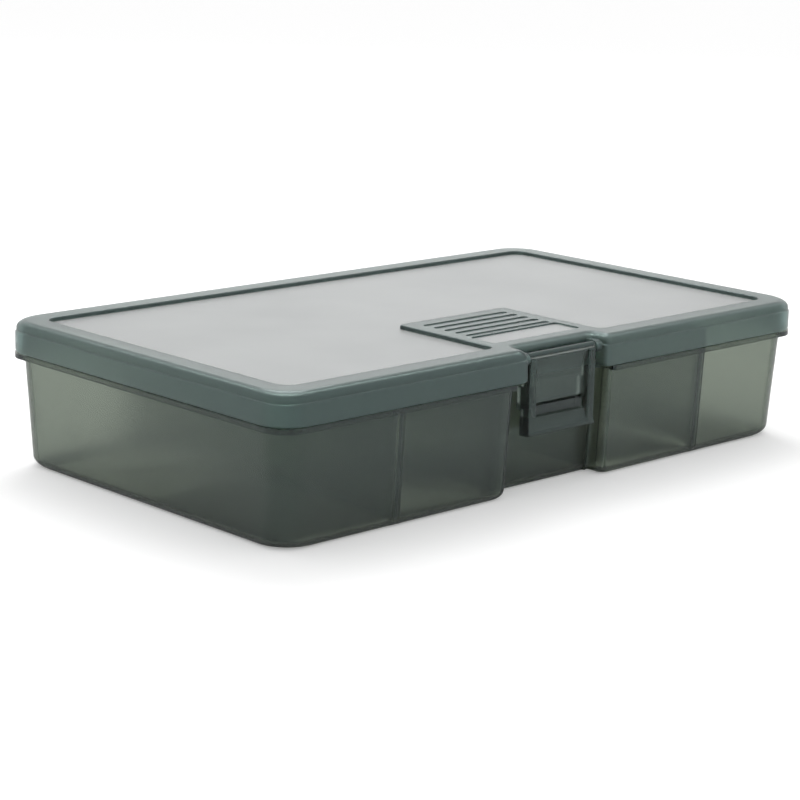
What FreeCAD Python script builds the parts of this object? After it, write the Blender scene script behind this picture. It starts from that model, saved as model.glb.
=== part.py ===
"""Flat see-through tackle box: a divided tray, a hinged lid and a front latch.

The origin is the middle of the flat underside. X runs along the long front side,
the front faces -Y and +Z is up. All sizes are in millimetres.
"""

import os

import FreeCAD
import Part
import Sketcher


class Size:
    """A length with its value and the sheet expression that gives it."""

    def __init__(self, value, text):
        self.value = value
        self.text = text

    def __add__(self, other):
        return Size(self.value + other.value, f"({self.text} + {other.text})")

    def __sub__(self, other):
        return Size(self.value - other.value, f"({self.text} - {other.text})")

    def __mul__(self, share):
        return Size(self.value * share, f"({self.text} * {share})")

    def __truediv__(self, number):
        return Size(self.value / number, f"({self.text} / {number})")

    def __neg__(self):
        return self * -1


SIZES = {
    # Overall size of the closed box, without the hinge knuckles
    "box_length": 356.0,
    "box_depth": 205.0,
    "box_height": 72.0,
    # Tray walls, measured in from the lid's outline
    "wall_top_inset": 3.5,
    "wall_foot_inset": 6.1,
    "tray_wall": 2.0,
    "tray_floor": 2.2,
    "tray_corner": 13.0,
    "foot_round": 5.0,
    # Flange round the tray, under the lid
    "flange_thickness": 2.4,
    "flange_inset": 0.5,
    # Lid
    "lid_wall": 2.0,
    "lid_top": 2.0,
    "lid_corner": 13.0,
    "lid_edge_round": 1.7,
    "skirt_height": 15.0,
    "skirt_gap": 0.8,
    "seat_gap": 0.3,
    "rim_width": 14.0,
    "panel_recess": 2.0,
    "panel_thickness": 1.8,
    "panel_corner": 7.0,
    # Raised pad on the lid, with its grooves and its label place
    "pad_half_width": 36.8,
    "pad_reach": 77.1,
    "groove_half_length": 27.0,
    "groove_width": 2.8,
    "groove_round": 1.3,
    "groove_deep": 0.8,
    "groove_pitch": 7.2,
    "groove_back_margin": 6.1,
    "label_half_width": 29.0,
    "label_front_margin": 22.3,
    "label_width": 16.2,
    "label_deep": 0.8,
    "label_corner": 2.5,
    # Notch in the front side
    "notch_half_width": 32.5,
    "notch_depth": 10.3,
    "notch_lip_round": 2.0,
    "notch_root_round": 3.0,
    "notch_wall_round": 8.2,
    "notch_wall_root": 1.1,
    "notch_fit": 0.6,
    # Latch
    "latch_half_width": 22.7,
    "latch_rail_width": 4.9,
    "latch_rail_setback": 3.5,
    "latch_back_gap": 0.6,
    "latch_axis_inset": 6.5,
    "latch_axis_drop": 6.0,
    "latch_barrel_radius": 3.0,
    "latch_web_setback": 2.6,
    "latch_web_thickness": 2.0,
    "latch_window_height": 6.6,
    "latch_bar_height": 8.5,
    "latch_bar_setback": 1.2,
    "latch_bar_thickness": 3.5,
    "latch_lip_reach": 0.6,
    "latch_lip_height": 2.2,
    "ear_thickness": 4.0,
    "ear_gap": 0.5,
    # Catch on the tray, inside the latch's window
    "catch_drop": 28.2,
    "catch_gap": 0.4,
    "catch_bite": 2.5,
    "catch_tip_height": 1.7,
    "catch_height": 7.2,
    "catch_side_gap": 1.3,
    # Rear hinges
    "hinge_axis_reach": 3.1,
    "knuckle_radius": 2.6,
    "lid_knuckle_length": 15.0,
    "tray_knuckle_length": 12.0,
    "knuckle_gap": 0.4,
    "pin_radius": 1.0,
    "pin_fit": 0.05,
    # Dividers and the ribs that hold them
    "divider_thickness": 1.8,
    "divider_fit": 0.3,
    "divider_headroom": 2.2,
    "rib_thickness": 1.2,
    "rib_depth": 2.5,
    # One overrun for every cut
    "overrun": 1.0,
}

GROOVE_COUNT = 5
HINGE_PLACE_SHARE = 0.534
OUTER_DIVIDER_SHARE = 0.503
ROOT_SHARE = 0.25


def make_sheet(doc):
    """Write the driving sizes to a sheet and return them by name."""
    sheet = doc.addObject("Spreadsheet::Sheet", "Sizes")
    sizes = {}
    for row, (name, value) in enumerate(SIZES.items(), start=1):
        sheet.set(f"A{row}", name)
        sheet.set(f"B{row}", str(value))
        sheet.setAlias(f"B{row}", name)
        sizes[name] = Size(value, f"Sizes.{name}")
    doc.recompute()
    return sizes


class Layout:
    """Places that several pieces share, worked out from the driving sizes."""

    def __init__(self, size):
        self.zero = size["overrun"] * 0
        self.end = size["box_length"] / 2
        self.back = size["box_depth"] / 2
        self.front = -self.back
        self.top = size["box_height"]
        self.skirt_under = self.top - size["skirt_height"]
        self.flange_top = self.skirt_under - size["skirt_gap"]
        self.flange_under = self.flange_top - size["flange_thickness"]
        self.rim_under = self.top - size["lid_top"]
        self.tray_top = self.rim_under - size["seat_gap"]
        self.panel_top = self.top - size["panel_recess"]
        self.panel_under = self.panel_top - size["panel_thickness"]
        self.notch_floor = self.front + size["notch_depth"]
        self.tray_notch_half = size["notch_half_width"] + size["lid_wall"] + size["notch_fit"]
        self.tray_notch_floor = self.notch_floor + size["lid_wall"] + size["notch_fit"]
        self.latch_axis_y = self.front + size["latch_axis_inset"]
        self.latch_axis_z = self.top - size["latch_axis_drop"]
        self.catch_under = self.latch_axis_z - size["catch_drop"]
        self.latch_rail_front = self.front + size["latch_rail_setback"]
        self.latch_rail_back = self.notch_floor - size["latch_back_gap"]
        self.latch_bar_front = self.latch_rail_front + size["latch_bar_setback"]
        self.latch_bar_back = self.latch_bar_front + size["latch_bar_thickness"]
        self.latch_bar_top = self.catch_under - size["catch_gap"]
        self.latch_under = self.latch_bar_top - size["latch_bar_height"]
        self.window_half = size["latch_half_width"] - size["latch_rail_width"]
        self.ear_inner = size["latch_half_width"] + size["ear_gap"]
        self.ear_outer = self.ear_inner + size["ear_thickness"]
        self.hinge_y = self.back + size["hinge_axis_reach"]
        self.hinge_z = self.skirt_under
        self.hinge_x = self.end * HINGE_PLACE_SHARE
        self.hinge_half = size["lid_knuckle_length"] / 2 + size["knuckle_gap"] + size["tray_knuckle_length"]
        self.pin_hole = size["pin_radius"] + size["pin_fit"]
        self.divider_top = self.panel_under - size["divider_headroom"]
        self.divider_under = size["tray_floor"] + size["divider_fit"]
        self.divider_inner = self.tray_notch_half + size["divider_fit"] - size["divider_thickness"] / 2
        wall_inside = self.end - size["wall_top_inset"] - size["tray_wall"]
        self.divider_outer = self.divider_inner + (wall_inside - self.divider_inner) * OUTER_DIVIDER_SHARE


def new_body(doc, name):
    """Add an empty body whose label is the piece's name."""
    body = doc.addObject("PartDesign::Body", name)
    body.Label = name
    return body


def origin_plane(body, role):
    """Return one of the body's own origin planes."""
    return next(plane for plane in body.Origin.OriginFeatures if plane.Role == role)


def new_sketch(body, name, role, height):
    """Attach an empty sketch to an origin plane, lifted off it by a height."""
    sketch = body.newObject("Sketcher::SketchObject", name)
    sketch.AttachmentSupport = [(origin_plane(body, role), "")]
    sketch.MapMode = "FlatFace"
    sketch.AttachmentOffset = FreeCAD.Placement(FreeCAD.Vector(0, 0, height.value), FreeCAD.Rotation())
    sketch.setExpression("AttachmentOffset.Base.z", height.text)
    return sketch


def direction(start, end):
    """Return the unit steps from one corner towards another along an axis."""
    step_x = end[0].value - start[0].value
    step_y = end[1].value - start[1].value
    return (step_x > 0) - (step_x < 0), (step_y > 0) - (step_y < 0)


def corner_ends(corners, index):
    """Return the points where a rounded corner meets its two sides."""
    across, up, rounding = corners[index]
    ends = []
    for neighbour in (corners[index - 1], corners[(index + 1) % len(corners)]):
        step_x, step_y = direction(corners[index], neighbour)
        ends.append((across + rounding * step_x, up + rounding * step_y))
    return ends


def vector(point):
    """Return a point of the sketch as a vector."""
    return FreeCAD.Vector(point[0].value, point[1].value, 0)


def bind(sketch, kind, places, size):
    """Add a constraint whose value follows the sheet."""
    index = sketch.addConstraint(Sketcher.Constraint(kind, *places, size.value))
    sketch.setExpression(f"Constraints[{index}]", size.text)


def pin_point(sketch, geometry, end, point):
    """Hold one end of a line at its place in the sketch."""
    bind(sketch, "DistanceX", (-1, 1, geometry, end), point[0])
    bind(sketch, "DistanceY", (-1, 1, geometry, end), point[1])


def add_arc(sketch, corners, index, starts, ends):
    """Add the arc of a rounded corner and return it with the place of its first end."""
    first = vector(starts[index])
    last = vector(ends[index])
    corner = vector(corners[index])
    centre = first + last - corner
    rounding = corners[index][2]
    middle = centre + (corner - centre).normalize() * rounding.value
    arc = sketch.addGeometry(Part.Arc(first, middle, last), False)
    bind(sketch, "Radius", (arc,), rounding)
    turned = sketch.getPoint(arc, 1).distanceToPoint(first) > sketch.getPoint(arc, 2).distanceToPoint(first)
    return arc, 2 if turned else 1


def draw_outline(sketch, corners):
    """Draw a closed outline through corners given as (across, up, rounding or None)."""
    count = len(corners)
    starts = []
    ends = []
    for index, (across, up, rounding) in enumerate(corners):
        meeting = corner_ends(corners, index) if rounding else [(across, up), (across, up)]
        starts.append(meeting[0])
        ends.append(meeting[1])
    lines = []
    for index in range(count):
        side = Part.LineSegment(vector(ends[index]), vector(starts[(index + 1) % count]))
        lines.append(sketch.addGeometry(side, False))
    for index, corner in enumerate(corners):
        before = lines[index - 1]
        after = lines[index]
        pin_point(sketch, after, 1, ends[index])
        if corner[2] is None:
            sketch.addConstraint(Sketcher.Constraint("Coincident", before, 2, after, 1))
            continue
        pin_point(sketch, before, 2, starts[index])
        arc, first_end = add_arc(sketch, corners, index, starts, ends)
        sketch.addConstraint(Sketcher.Constraint("Coincident", before, 2, arc, first_end))
        sketch.addConstraint(Sketcher.Constraint("Coincident", after, 1, arc, 3 - first_end))


def outline_sketch(body, name, role, height, corners):
    """Make a sketch that holds one closed outline."""
    sketch = new_sketch(body, name, role, height)
    draw_outline(sketch, corners)
    return sketch


def circle_sketch(body, name, role, height, across, up, radius):
    """Make a sketch that holds one circle."""
    sketch = new_sketch(body, name, role, height)
    circle = Part.Circle(vector((across, up)), FreeCAD.Vector(0, 0, 1), radius.value)
    index = sketch.addGeometry(circle, False)
    bind(sketch, "DistanceX", (-1, 1, index, 3), across)
    bind(sketch, "DistanceY", (-1, 1, index, 3), up)
    bind(sketch, "Radius", (index,), radius)
    return sketch


def box_corners(left, right, low, high, rounding=None):
    """Return the corners of a rectangle, all rounded alike."""
    return [(left, low, rounding), (right, low, rounding), (right, high, rounding), (left, high, rounding)]


def notched_corners(half_x, front, back, corner, notch):
    """Return the corners of a rectangle with a notch in its front side.

    The notch is (half width, floor, rounding at the front, rounding at the floor).
    """
    half_width, floor, lip_round, root_round = notch
    return [
        (-half_x, front, corner),
        (-half_width, front, lip_round),
        (-half_width, floor, root_round),
        (half_width, floor, root_round),
        (half_width, front, lip_round),
        (half_x, front, corner),
        (half_x, back, corner),
        (-half_x, back, corner),
    ]


def extrude(body, kind, name, sketch, length, side="One side", turned=False):
    """Add a pad or a pocket along the sketch's normal."""
    feature = body.newObject(kind, name)
    feature.Profile = sketch
    feature.SideType = side
    feature.Reversed = turned
    feature.setExpression("Length", length.text)
    return feature


def pad(body, name, sketch, length, side="One side"):
    """Add material from the sketch along its normal."""
    return extrude(body, "PartDesign::Pad", name, sketch, length, side)


def cut(body, name, sketch, length, side="One side", turned=False):
    """Cut from the sketch against its normal, or along it when turned."""
    return extrude(body, "PartDesign::Pocket", name, sketch, length, side, turned)


def lean(feature, size, place):
    """Draw a tray pad or pocket in towards the foot by the walls' lean."""
    rise = size["wall_foot_inset"] - size["wall_top_inset"]
    feature.setExpression("TaperAngle", f"-atan({rise.text} / {place.flange_under.text})")
    return feature


def block(doc, name, low, high):
    """Add a block between two opposite corners."""
    box = doc.addObject("Part::Box", name)
    for side, start, end in zip(("Length", "Width", "Height"), low, high):
        box.setExpression(side, (end - start).text)
    for axis, start in zip("xyz", low):
        box.setExpression(f"Placement.Base.{axis}", start.text)
    return box


def rod(doc, name, radius, middle, length, centre):
    """Add a round rod along X about a middle, with its axis at a (y, z) centre."""
    cylinder = doc.addObject("Part::Cylinder", name)
    cylinder.Placement = FreeCAD.Placement(FreeCAD.Vector(), FreeCAD.Rotation(FreeCAD.Vector(0, 1, 0), 90))
    cylinder.setExpression("Radius", radius.text)
    cylinder.setExpression("Height", length.text)
    cylinder.setExpression("Placement.Base.x", (middle - length / 2).text)
    cylinder.setExpression("Placement.Base.y", centre[0].text)
    cylinder.setExpression("Placement.Base.z", centre[1].text)
    return cylinder


def leaning_post(doc, name, x_range, foot_range, head_range, z_range):
    """Add an upright post whose depth range moves from its foot to its head."""
    post = doc.addObject("Part::Wedge", name)
    post.Placement = FreeCAD.Placement(FreeCAD.Vector(), FreeCAD.Rotation(FreeCAD.Vector(1, 0, 0), 90))
    bounds = {
        "Xmin": x_range[0], "Xmax": x_range[1], "X2min": x_range[0], "X2max": x_range[1],
        "Ymin": z_range[0], "Ymax": z_range[1],
        "Zmin": -foot_range[1], "Zmax": -foot_range[0],
        "Z2min": -head_range[1], "Z2max": -head_range[0],
    }
    for bound, place in bounds.items():
        setattr(post, bound, place.value)
        post.setExpression(bound, place.text)
    return post


def join(doc, name, items):
    """Join several solids into one."""
    fused = doc.addObject("Part::MultiFuse", name)
    fused.Shapes = items
    return fused


def drill(doc, name, base, tools):
    """Cut rods out of a solid and give the result the piece's name."""
    drilled = doc.addObject("Part::Cut", name)
    drilled.Label = name
    drilled.Base = base
    drilled.Tool = tools[0] if len(tools) == 1 else join(doc, f"{name}_bores", tools)
    return drilled


def edges_at(doc, feature, height):
    """Return the names of the edges that lie level at a height."""
    doc.recompute()
    names = []
    for number, edge in enumerate(feature.Shape.Edges, start=1):
        box = edge.BoundBox
        if box.ZLength < 1e-4 and abs(box.ZMin - height.value) < 1e-4:
            names.append(f"Edge{number}")
    return names


def round_edges(body, name, feature, edges, radius):
    """Round the named edges of a feature."""
    fillet = body.newObject("PartDesign::Fillet", name)
    fillet.Base = (feature, edges)
    fillet.setExpression("Radius", radius.text)
    return fillet


def tray_outline(size, place, notch):
    """Return the outline of the tray's outer wall at the flange."""
    inset = size["wall_top_inset"]
    return notched_corners(place.end - inset, place.front + inset, place.back - inset, size["tray_corner"], notch)


def tray_hollow(size, place):
    """Return the outline of the inside of the tray wall at the flange."""
    wall = size["tray_wall"]
    inset = size["wall_top_inset"] + wall
    notch = (
        place.tray_notch_half + wall,
        place.tray_notch_floor + wall,
        size["notch_wall_round"] - wall,
        size["notch_wall_root"] + wall,
    )
    corner = size["tray_corner"] - wall
    return notched_corners(place.end - inset, place.front + inset, place.back - inset, corner, notch)


def add_tray_shell(doc, body, size, place):
    """Make the tapered tray with its foot rounding and its upright upper wall."""
    rounds = (size["notch_wall_round"], size["notch_wall_root"])
    low_notch = (size["notch_half_width"] + size["flange_inset"], place.tray_notch_floor, *rounds)
    low_outline = tray_outline(size, place, low_notch)
    shoulder = outline_sketch(body, "shoulder_outline", "XY_Plane", place.flange_under, low_outline)
    shell = extrude(body, "PartDesign::Pad", "tapered_shell", shoulder, place.flange_under, turned=True)
    lean(shell, size, place)
    round_edges(body, "foot_rounding", shell, edges_at(doc, shell, place.zero), size["foot_round"])
    high_outline = tray_outline(size, place, (place.tray_notch_half, place.tray_notch_floor, *rounds))
    rim = outline_sketch(body, "rim_outline", "XY_Plane", place.flange_under, high_outline)
    pad(body, "upper_wall", rim, place.tray_top - place.flange_under)


def add_flange(body, size, place):
    """Add the flange that runs round the tray under the lid."""
    inset = size["flange_inset"]
    notch = (
        size["notch_half_width"] + inset,
        place.notch_floor + inset,
        size["notch_lip_round"],
        size["notch_root_round"],
    )
    corner = size["lid_corner"] - inset
    outline = notched_corners(place.end - inset, place.front + inset, place.back - inset, corner, notch)
    sketch = outline_sketch(body, "flange_outline", "XY_Plane", place.flange_under, outline)
    pad(body, "flange", sketch, size["flange_thickness"])


def hollow_tray(doc, body, size, place):
    """Cut the hollow of the tray and round its floor edge."""
    outline = tray_hollow(size, place)
    shoulder = outline_sketch(body, "hollow_shoulder", "XY_Plane", place.flange_under, outline)
    hollow = cut(body, "lower_hollow", shoulder, place.flange_under - size["tray_floor"])
    lean(hollow, size, place)
    floor_edges = edges_at(doc, hollow, size["tray_floor"])
    round_edges(body, "floor_rounding", hollow, floor_edges, size["foot_round"] - size["tray_wall"])
    mouth = outline_sketch(body, "hollow_mouth", "XY_Plane", place.flange_under, outline)
    cut(body, "upper_hollow", mouth, place.tray_top - place.flange_under + size["overrun"], turned=True)


def lower_notch_rim(body, size, place):
    """Lower the tray's rim behind the notch, where the lid's sunk panel passes over it."""
    half = place.tray_notch_half + size["tray_wall"] + size["seat_gap"]
    back = place.tray_notch_floor + size["tray_wall"] + size["seat_gap"]
    corners = box_corners(-half, half, place.front, back)
    sketch = outline_sketch(body, "notch_rim_outline", "XY_Plane", place.tray_top, corners)
    cut(body, "notch_rim", sketch, place.tray_top - place.panel_under + size["seat_gap"])


def rib(doc, name, size, place, x_place, wall_head, inward, root_depth):
    """Make one upright rib from inside a leaning wall to its free edge in the tray."""
    half = size["rib_thickness"] / 2
    lean_in = (size["wall_foot_inset"] - size["wall_top_inset"]) * inward
    root = wall_head + root_depth * inward
    edge = wall_head + (size["tray_wall"] + size["rib_depth"]) * inward
    low, high = (root, edge) if inward > 0 else (edge, root)
    z_range = (size["tray_floor"] * (1 - ROOT_SHARE), place.flange_under)
    x_range = (x_place - half, x_place + half)
    return leaning_post(doc, name, x_range, (low + lean_in, high + lean_in), (low, high), z_range)


def divider_places(place):
    """Return the dividers from left to right as (place, stands behind the notch, side)."""
    return [
        (-place.divider_outer, False, -1),
        (-place.divider_inner, True, -1),
        (place.divider_inner, True, 1),
        (place.divider_outer, False, 1),
    ]


def make_ribs(doc, size, place):
    """Make the pairs of ribs that hold each divider at the front and at the back."""
    reach = size["divider_thickness"] / 2 + size["divider_fit"] + size["rib_thickness"] / 2
    in_wall = size["tray_wall"] * ROOT_SHARE
    past_corner = -(size["notch_root_round"] + in_wall)
    rim_front = place.front + size["wall_top_inset"]
    ribs = []
    for number, (x_place, behind_notch, outward) in enumerate(divider_places(place), start=1):
        front = place.tray_notch_floor if behind_notch else rim_front
        for side, side_name in ((-1, "left"), (1, "right")):
            rib_x = x_place + reach * side
            name = f"rib_{number}_{side_name}"
            front_root = past_corner if behind_notch and side == outward else in_wall
            ribs.append(rib(doc, f"{name}_back", size, place, rib_x, -rim_front, -1, in_wall))
            ribs.append(rib(doc, f"{name}_front", size, place, rib_x, front, 1, front_root))
    return ribs


def add_catch(body, size, place):
    """Add the nose on the notch's floor that the latch snaps over."""
    under = place.catch_under
    tip = place.latch_bar_back - size["catch_bite"]
    tip_top = under + size["catch_tip_height"]
    top = under + size["catch_height"]
    root = place.tray_notch_floor + size["wall_foot_inset"] - size["wall_top_inset"]
    corners = [(tip, under, None), (root, under, None), (root, top, None), (tip, tip_top, None)]
    sketch = outline_sketch(body, "catch_side_view", "YZ_Plane", place.zero, corners)
    pad(body, "catch", sketch, (place.window_half - size["catch_side_gap"]) * 2, side="Symmetric")


def knuckle(doc, name, size, place, middle, length, root, low, high):
    """Make one hinge knuckle and the arm that carries it from a root in the wall."""
    left = middle - length / 2
    right = middle + length / 2
    arm = block(doc, f"{name}_arm", (left, root, low), (right, place.hinge_y, high))
    return [arm, rod(doc, name, size["knuckle_radius"], middle, length, (place.hinge_y, place.hinge_z))]


def hinge_bores(doc, name, size, place):
    """Make the rods that bore the knuckles of both rear hinges."""
    bores = []
    for side, side_name in ((-1, "left"), (1, "right")):
        length = (place.hinge_half + size["overrun"]) * 2
        centre = (place.hinge_y, place.hinge_z)
        bores.append(rod(doc, f"{name}_{side_name}_bore", place.pin_hole, place.hinge_x * side, length, centre))
    return bores


def tray_knuckles(doc, size, place):
    """Make the two knuckles of the tray at each rear hinge."""
    root = place.back - size["flange_inset"] - size["flange_thickness"]
    offset = (size["lid_knuckle_length"] + size["tray_knuckle_length"]) / 2 + size["knuckle_gap"]
    knuckles = []
    for hinge_side, hinge_name in ((-1, "left"), (1, "right")):
        for side, side_name in ((-1, "left"), (1, "right")):
            middle = place.hinge_x * hinge_side + offset * side
            name = f"tray_knuckle_{hinge_name}_{side_name}"
            arm = (root, place.flange_under, place.flange_top)
            knuckles += knuckle(doc, name, size, place, middle, size["tray_knuckle_length"], *arm)
    return knuckles


def lid_knuckles(doc, size, place):
    """Make the single knuckle of the lid at each rear hinge."""
    root = place.back - size["lid_wall"] * ROOT_SHARE
    arm = (root, place.hinge_z, place.hinge_z + size["knuckle_radius"])
    knuckles = []
    for side, side_name in ((-1, "left"), (1, "right")):
        name = f"lid_knuckle_{side_name}"
        knuckles += knuckle(doc, name, size, place, place.hinge_x * side, size["lid_knuckle_length"], *arm)
    return knuckles


def make_base_tray(doc, size, place):
    """Make the tray: walls, flange, hollow, catch, divider ribs and hinge knuckles."""
    body = new_body(doc, "tray_walls")
    add_tray_shell(doc, body, size, place)
    add_flange(body, size, place)
    hollow_tray(doc, body, size, place)
    lower_notch_rim(body, size, place)
    add_catch(body, size, place)
    items = [body] + make_ribs(doc, size, place) + tray_knuckles(doc, size, place)
    whole = join(doc, "tray_with_ribs", items)
    return drill(doc, "base_tray", whole, hinge_bores(doc, "tray", size, place))


def lid_notch(size, place, inward):
    """Return the lid's notch, widened by a wall that goes inward."""
    return (
        size["notch_half_width"] + inward,
        place.notch_floor + inward,
        size["notch_lip_round"],
        size["notch_root_round"] + inward,
    )


def add_lid_shell(doc, body, size, place):
    """Make the lid's outer block with its rounded top edge and hollow it from below."""
    notch = lid_notch(size, place, place.zero)
    outer = notched_corners(place.end, place.front, place.back, size["lid_corner"], notch)
    outline = outline_sketch(body, "lid_outline", "XY_Plane", place.skirt_under, outer)
    block = pad(body, "lid_block", outline, place.top - place.skirt_under)
    top_edges = edges_at(doc, block, place.top)
    round_edges(body, "top_rounding", block, top_edges, size["lid_edge_round"])
    wall = size["lid_wall"]
    half_width, floor, _, root_round = lid_notch(size, place, wall)
    corner = size["lid_corner"] - wall
    inner = notched_corners(
        place.end - wall, place.front + wall, place.back - wall, corner, (half_width, floor, None, root_round)
    )
    hollow = outline_sketch(body, "lid_hollow_outline", "XY_Plane", place.skirt_under - size["overrun"], inner)
    cut(body, "lid_hollow", hollow, place.rim_under - place.skirt_under + size["overrun"], turned=True)


def panel_outline(size, place, grow):
    """Return the sunk panel's outline round the raised pad, grown outward."""
    reach = size["rim_width"] - grow
    pad_back = place.front + size["pad_reach"]
    corner = size["panel_corner"]
    notch = (size["pad_half_width"] - grow, pad_back - grow, corner / 2, corner / 2)
    return notched_corners(place.end - reach, place.front + reach, place.back - reach, corner, notch)


def add_panel(body, size, place):
    """Sink the panel into the lid's top and give it its own floor."""
    grown = panel_outline(size, place, size["lid_wall"])
    tray = outline_sketch(body, "panel_floor_outline", "XY_Plane", place.panel_under, grown)
    pad(body, "panel_floor", tray, size["panel_thickness"] + (place.rim_under - place.panel_top))
    recess = outline_sketch(body, "panel_outline", "XY_Plane", place.top, panel_outline(size, place, place.zero))
    cut(body, "panel_recess", recess, size["panel_recess"])


def add_pad_marks(body, size, place):
    """Cut the grooves and the bare label place into the raised pad."""
    half = size["groove_half_length"]
    width = size["groove_width"] / 2
    first = place.front + size["pad_reach"] - size["groove_back_margin"]
    for number in range(GROOVE_COUNT):
        middle = first - size["groove_pitch"] * number
        corners = box_corners(-half, half, middle - width, middle + width, size["groove_round"])
        sketch = outline_sketch(body, f"groove_{number + 1}_outline", "XY_Plane", place.top, corners)
        cut(body, f"groove_{number + 1}", sketch, size["groove_deep"])
    low = place.front + size["label_front_margin"]
    span = size["label_half_width"]
    corners = box_corners(-span, span, low, low + size["label_width"], size["label_corner"])
    sketch = outline_sketch(body, "label_outline", "XY_Plane", place.top, corners)
    cut(body, "label_place", sketch, size["label_deep"])


def latch_ears(doc, size, place):
    """Make the two ears of the lid that carry the latch's pin."""
    radius = size["latch_barrel_radius"]
    middle = (place.ear_inner + place.ear_outer) / 2
    root = place.notch_floor + size["lid_wall"] * ROOT_SHARE
    centre = (place.latch_axis_y, place.latch_axis_z)
    ears = []
    for side, name in ((-1, "left"), (1, "right")):
        left = middle * side - size["ear_thickness"] / 2
        low = (left, place.latch_axis_y, place.latch_axis_z - radius)
        high = (left + size["ear_thickness"], root, place.latch_axis_z + radius)
        ears.append(block(doc, f"{name}_ear_arm", low, high))
        ears.append(rod(doc, f"{name}_ear", radius, middle * side, size["ear_thickness"], centre))
    return ears


def make_lid(doc, size, place):
    """Make the lid: skirt, rim, sunk panel, marked pad, latch ears and hinge knuckles."""
    body = new_body(doc, "lid_walls")
    add_lid_shell(doc, body, size, place)
    add_panel(body, size, place)
    add_pad_marks(body, size, place)
    items = [body] + latch_ears(doc, size, place) + lid_knuckles(doc, size, place)
    whole = join(doc, "lid_with_ears", items)
    ear_bore_length = (place.ear_outer + size["overrun"]) * 2
    centre = (place.latch_axis_y, place.latch_axis_z)
    ear_bore = rod(doc, "ear_bore", place.pin_hole, place.zero, ear_bore_length, centre)
    return drill(doc, "lid", whole, hinge_bores(doc, "lid", size, place) + [ear_bore])


def make_latch(doc, size, place):
    """Make the latch: barrel, two side rails, thin web and the lower bar with its lip."""
    body = new_body(doc, "latch")
    width = size["latch_half_width"] * 2
    axis = (place.latch_axis_y, place.latch_axis_z)
    barrel = circle_sketch(body, "barrel_side_view", "YZ_Plane", place.zero, *axis, size["latch_barrel_radius"])
    pad(body, "barrel", barrel, width, side="Symmetric")
    rail = box_corners(place.latch_rail_front, place.latch_rail_back, place.latch_under, place.latch_axis_z)
    rail_x = size["latch_half_width"] - size["latch_rail_width"] / 2
    for side, name in ((-1, "left"), (1, "right")):
        view = outline_sketch(body, f"{name}_rail_side_view", "YZ_Plane", rail_x * side, rail)
        pad(body, f"{name}_rail", view, size["latch_rail_width"], side="Symmetric")
    web_front = place.latch_rail_front + size["latch_web_setback"]
    window_top = place.latch_bar_top + size["latch_window_height"]
    web = box_corners(web_front, web_front + size["latch_web_thickness"], window_top, place.latch_axis_z)
    view = outline_sketch(body, "web_side_view", "YZ_Plane", place.zero, web)
    pad(body, "web", view, width - size["latch_rail_width"], side="Symmetric")
    bar = [
        (place.latch_bar_back, place.latch_under, None),
        (place.latch_bar_back, place.latch_bar_top, None),
        (place.latch_bar_front, place.latch_bar_top, None),
        (place.latch_bar_front, place.latch_under + size["latch_lip_height"], None),
        (place.latch_rail_front - size["latch_lip_reach"], place.latch_under + size["latch_lip_height"], None),
        (place.latch_rail_front - size["latch_lip_reach"], place.latch_under, None),
    ]
    view = outline_sketch(body, "bar_side_view", "YZ_Plane", place.zero, bar)
    pad(body, "lower_bar", view, width, side="Symmetric")
    bore = circle_sketch(body, "barrel_bore_view", "YZ_Plane", place.zero, *axis, place.pin_hole)
    cut(body, "barrel_bore", bore, width + size["overrun"], side="Symmetric")
    return body


def make_divider(doc, name, size, place, x_place, behind_notch):
    """Make one removable partition that follows the leaning walls with a clearance."""
    body = new_body(doc, name)
    gap = size["tray_wall"] + size["divider_fit"]
    foot_back = place.back - size["wall_foot_inset"] - gap
    rim_back = place.back - size["wall_top_inset"] - gap
    foot_front = -foot_back
    rim_front = -rim_back
    if behind_notch:
        foot_front = place.tray_notch_floor + size["wall_foot_inset"] - size["wall_top_inset"] + gap
        rim_front = place.tray_notch_floor + gap
    corner = size["foot_round"] - size["tray_wall"]
    under = place.divider_under
    corners = [
        (foot_front + corner, under, None),
        (foot_back - corner, under, None),
        (foot_back, under + corner, None),
        (rim_back, place.flange_under, None),
        (rim_back, place.divider_top, None),
        (rim_front, place.divider_top, None),
        (rim_front, place.flange_under, None),
        (foot_front, under + corner, None),
    ]
    view = outline_sketch(body, f"{name}_side_view", "YZ_Plane", place.zero, corners)
    pad(body, f"{name}_plate", view, size["divider_thickness"], side="Symmetric")
    body.setExpression("Placement.Base.x", x_place.text)
    return body


def make_pins(doc, size, place):
    """Make the latch's steel pin and the steel pins of the two rear hinges."""
    latch_axis = (place.latch_axis_y, place.latch_axis_z)
    hinge_axis = (place.hinge_y, place.hinge_z)
    radius = size["pin_radius"]
    return [
        rod(doc, "latch_pin", radius, place.zero, place.ear_outer * 2, latch_axis),
        rod(doc, "hinge_pin_left", radius, -place.hinge_x, place.hinge_half * 2, hinge_axis),
        rod(doc, "hinge_pin_right", radius, place.hinge_x, place.hinge_half * 2, hinge_axis),
    ]


def check_volumes(doc):
    """Stop if a feature that should add or take material has changed nothing."""
    for feature in doc.Objects:
        base = getattr(feature, "BaseFeature", None)
        if base is None:
            continue
        change = feature.Shape.Volume - base.Shape.Volume
        adds = feature.TypeId == "PartDesign::Pad"
        takes = feature.TypeId == "PartDesign::Pocket"
        if (adds and change <= 0) or (takes and change >= 0):
            raise RuntimeError(f"{feature.Name} changed the volume by {change:.3f}")


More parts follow.
